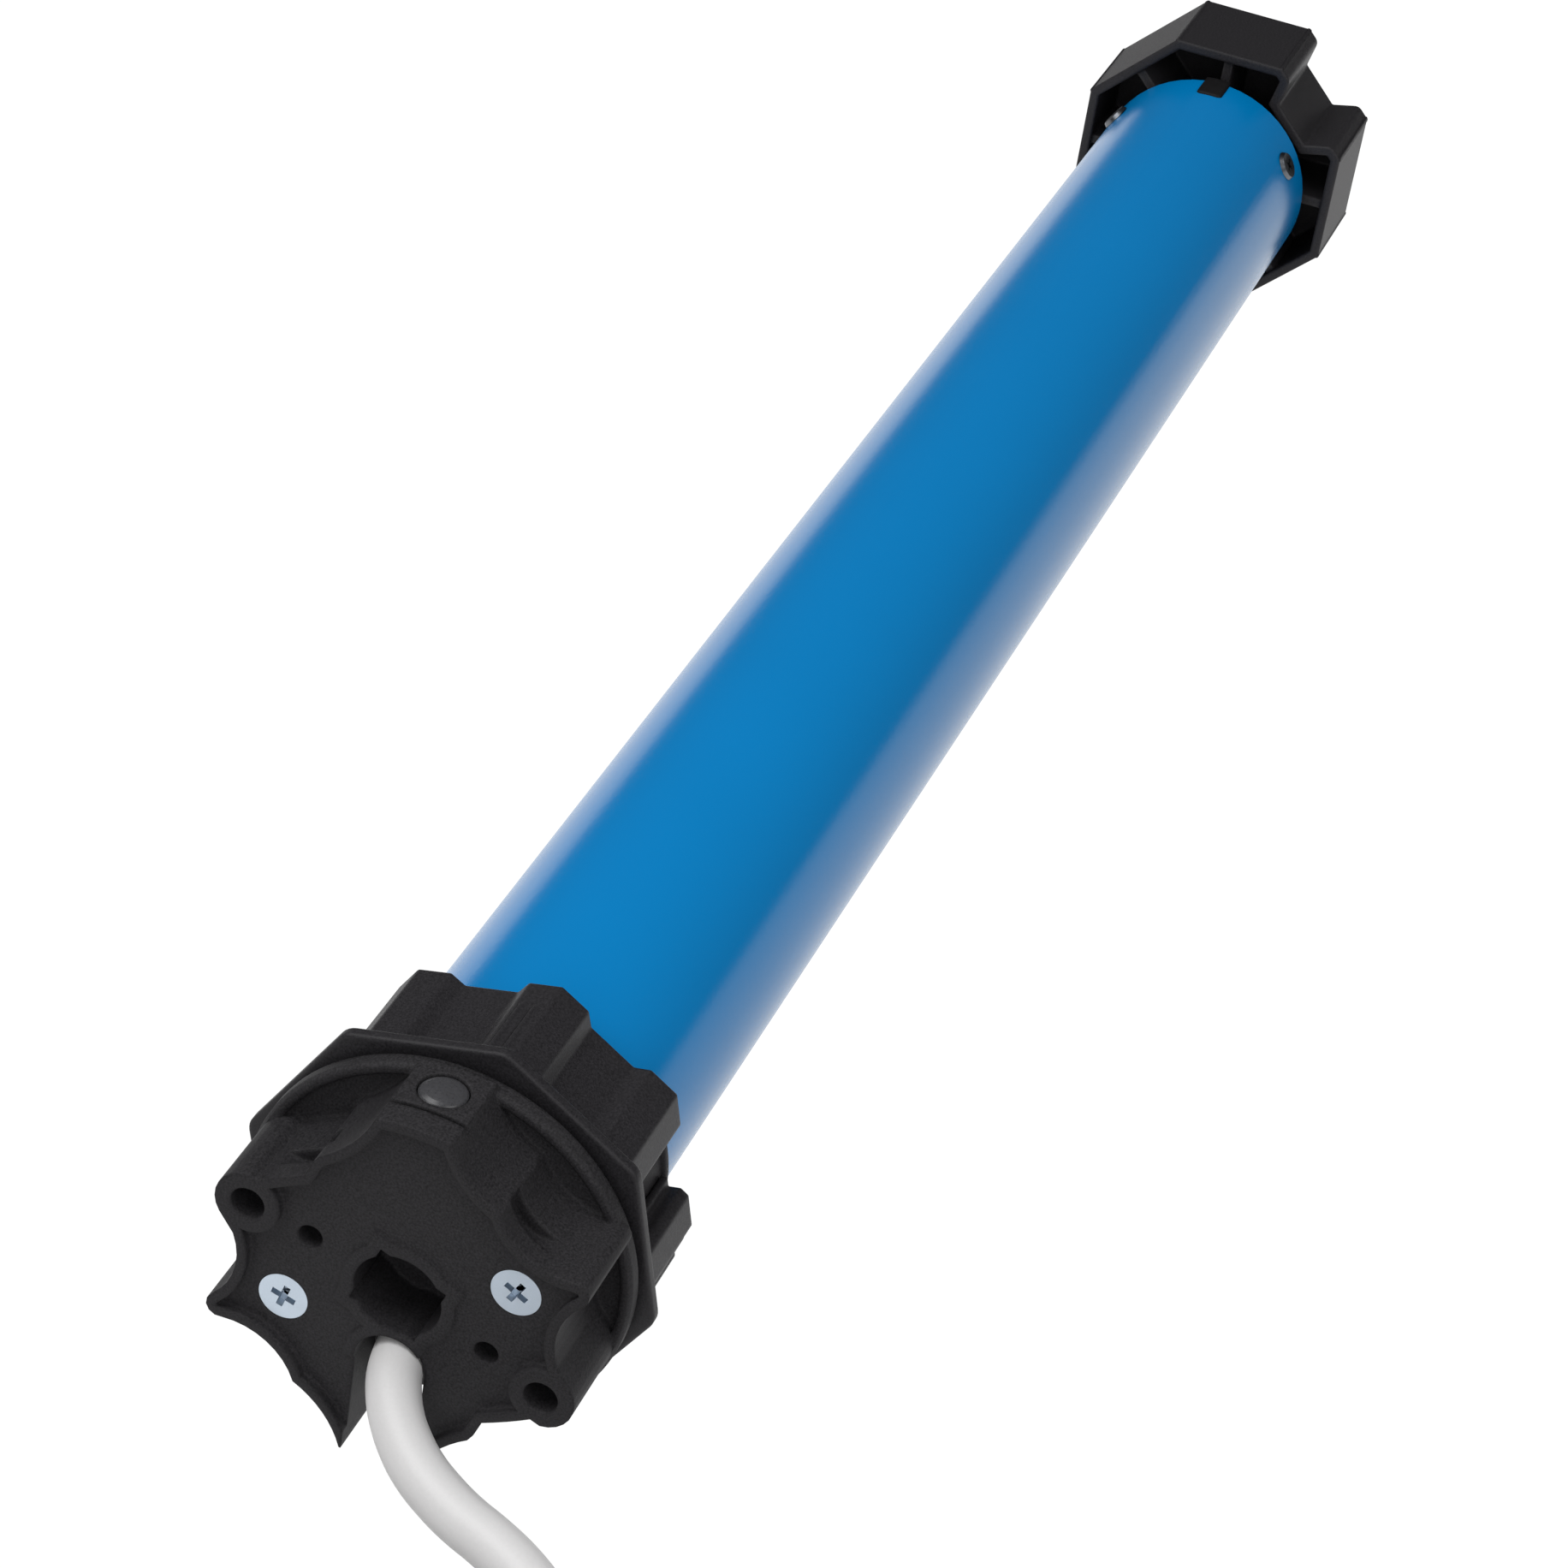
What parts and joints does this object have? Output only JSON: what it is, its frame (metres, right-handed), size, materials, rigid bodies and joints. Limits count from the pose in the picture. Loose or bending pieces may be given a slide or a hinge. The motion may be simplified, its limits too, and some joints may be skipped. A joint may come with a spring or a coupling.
{
  "type": "tubular roller blind motor",
  "caption": "Tubular motor for a roller blind: star-shaped head with socket and cable, turning octagonal crown, round tube and octagonal drive wheel.",
  "frame": {"origin": "on the motor axis, in the plane of the head's front rim, at the centre of the circle through the two bracket holes", "axes": "+X along the motor axis from the head to the drive wheel, +Z towards the setting button"},
  "size_m": [0.6656, 0.0994, 0.0648],
  "materials": {
    "head_black": "moulded, fine grained",
    "crown_black": "moulded, satin",
    "tube_blue": "satin powder coat",
    "zinc": "bluish zinc plate",
    "button_grey": "translucent dark grey",
    "cable_white": "soft white sheath",
    "gland_grey": "moulded rubber",
    "spring_steel": "bright wire",
    "gear_nylon": "natural nylon",
    "magnet": "sintered",
    "steel": "machined",
    "dark_steel": "black oxide",
    "die_cast": "die cast",
    "laminations": "stacked sheet steel",
    "copper": "enamelled copper wire",
    "board_green": "solder mask",
    "part_blue": "moulded",
    "part_black": "moulded",
    "terminal_green": "moulded",
    "can_white": "moulded can",
    "bronze": "sintered bronze",
    "lining": "friction lining",
    "core_colours": "insulation in four colours",
    "tin": "tinned copper",
    "tie_black": "woven band"
  },
  "bodies": {
    "motor_body": {"star_head": "head_black", "bearing_sleeve": "head_black", "head_screws": "zinc", "cable_gland": "gland_grey", "inner_lead": "cable_white", "button_spring": "spring_steel", "button_switch": "part_black", "limit_pin": "steel", "tube": "tube_blue", "tube_screws": "dark_steel", "board_tray": "part_black", "control_board": "board_green", "relays": "part_blue", "power_module": "part_black", "terminal_block": "terminal_green", "run_capacitor": "can_white", "capacitor_rings": "part_black", "motor_front_cover": "die_cast", "motor_rear_cover": "die_cast", "stator_core": "laminations", "stator_windings": "copper", "rotor_bearings": "steel", "brake_plate": "steel", "brake_spring": "spring_steel", "gearbox_cover": "die_cast", "gearbox_ring": "steel", "output_bush": "bronze", "end_plug": "head_black", "cable": "cable_white", "cable_coil": "cable_white", "coil_tie": "tie_black", "cable_cores": "core_colours", "core_ferrules": "tin"},
    "crown": {"crown_ring": "crown_black"},
    "limit_train": {"limit_gear": "gear_nylon", "limit_magnet": "magnet"},
    "button": {"setting_button": "button_grey"},
    "wheel": {"output_shaft": "steel", "drive_wheel": "crown_black", "wheel_washer": "zinc", "wheel_screw": "zinc"},
    "rotor": {"rotor_core": "laminations", "rotor_shaft": "steel", "brake_disc": "lining"},
    "first_carrier": {"carrier_1": "steel"},
    "second_carrier": {"carrier_2": "steel"},
    "planet_1a_gear": {"planet_1a": "gear_nylon"},
    "planet_1b_gear": {"planet_1b": "gear_nylon"},
    "planet_1c_gear": {"planet_1c": "gear_nylon"},
    "planet_2a_gear": {"planet_2a": "gear_nylon"},
    "planet_2b_gear": {"planet_2b": "gear_nylon"},
    "planet_2c_gear": {"planet_2c": "gear_nylon"},
    "planet_3a_gear": {"planet_3a": "steel"},
    "planet_3b_gear": {"planet_3b": "steel"},
    "planet_3c_gear": {"planet_3c": "steel"}
  },
  "joints": [
    {"name": "crown_spin", "type": "hinge", "parent": "motor_body", "child": "crown", "pos_m": [0.031, 0, 0], "axis": [1, 0, 0], "continuous": true},
    {"name": "limit_spin", "type": "hinge", "parent": "motor_body", "child": "limit_train", "pos_m": [0.022, 0.0084, 0.01455], "axis": [1, 0, 0], "continuous": true},
    {"name": "button_press", "type": "slide", "parent": "motor_body", "child": "button", "axis": [0, 0, 1], "range_m": [-0.001, 0], "stiffness_N_per_m": 400, "springref_m": 0.001, "deforming": ["button_spring"]},
    {"name": "wheel_spin", "type": "hinge", "parent": "motor_body", "child": "wheel", "pos_m": [0.43, 0, 0], "axis": [1, 0, 0], "continuous": true},
    {"name": "rotor_spin", "type": "hinge", "parent": "motor_body", "child": "rotor", "pos_m": [0.24, 0, 0], "axis": [1, 0, 0], "continuous": true},
    {"name": "first_carrier_spin", "type": "hinge", "parent": "motor_body", "child": "first_carrier", "pos_m": [0.367, 0, 0], "axis": [1, 0, 0], "continuous": true},
    {"name": "second_carrier_spin", "type": "hinge", "parent": "motor_body", "child": "second_carrier", "pos_m": [0.38, 0, 0], "axis": [1, 0, 0], "continuous": true},
    {"name": "planet_1a_spin", "type": "hinge", "parent": "first_carrier", "child": "planet_1a_gear", "pos_m": [0.3617, 0, 0.01072], "axis": [1, 0, 0], "continuous": true},
    {"name": "planet_1b_spin", "type": "hinge", "parent": "first_carrier", "child": "planet_1b_gear", "pos_m": [0.3617, -0.00929, -0.00536], "axis": [1, 0, 0], "continuous": true},
    {"name": "planet_1c_spin", "type": "hinge", "parent": "first_carrier", "child": "planet_1c_gear", "pos_m": [0.3617, 0.00929, -0.00536], "axis": [1, 0, 0], "continuous": true},
    {"name": "planet_2a_spin", "type": "hinge", "parent": "second_carrier", "child": "planet_2a_gear", "pos_m": [0.3752, 0, 0.01072], "axis": [1, 0, 0], "continuous": true},
    {"name": "planet_2b_spin", "type": "hinge", "parent": "second_carrier", "child": "planet_2b_gear", "pos_m": [0.3752, -0.00929, -0.00536], "axis": [1, 0, 0], "continuous": true},
    {"name": "planet_2c_spin", "type": "hinge", "parent": "second_carrier", "child": "planet_2c_gear", "pos_m": [0.3752, 0.00929, -0.00536], "axis": [1, 0, 0], "continuous": true},
    {"name": "planet_3a_spin", "type": "hinge", "parent": "wheel", "child": "planet_3a_gear", "pos_m": [0.3907, 0, 0.01072], "axis": [1, 0, 0], "continuous": true},
    {"name": "planet_3b_spin", "type": "hinge", "parent": "wheel", "child": "planet_3b_gear", "pos_m": [0.3907, -0.00929, -0.00536], "axis": [1, 0, 0], "continuous": true},
    {"name": "planet_3c_spin", "type": "hinge", "parent": "wheel", "child": "planet_3c_gear", "pos_m": [0.3907, 0.00929, -0.00536], "axis": [1, 0, 0], "continuous": true}
  ],
  "couplings": [
    {"joint": "limit_spin", "follows": "crown_spin", "ratio": 4},
    {"joint": "rotor_spin", "follows": "wheel_spin", "ratio": 166.38},
    {"joint": "first_carrier_spin", "follows": "wheel_spin", "ratio": 30.25},
    {"joint": "second_carrier_spin", "follows": "wheel_spin", "ratio": 5.5},
    {"joint": "planet_1a_spin", "follows": "wheel_spin", "ratio": -77.786},
    {"joint": "planet_1b_spin", "follows": "wheel_spin", "ratio": -77.786},
    {"joint": "planet_1c_spin", "follows": "wheel_spin", "ratio": -77.786},
    {"joint": "planet_2a_spin", "follows": "wheel_spin", "ratio": -14.143},
    {"joint": "planet_2b_spin", "follows": "wheel_spin", "ratio": -14.143},
    {"joint": "planet_2c_spin", "follows": "wheel_spin", "ratio": -14.143},
    {"joint": "planet_3a_spin", "follows": "wheel_spin", "ratio": -2.5714},
    {"joint": "planet_3b_spin", "follows": "wheel_spin", "ratio": -2.5714},
    {"joint": "planet_3c_spin", "follows": "wheel_spin", "ratio": -2.5714}
  ]
}
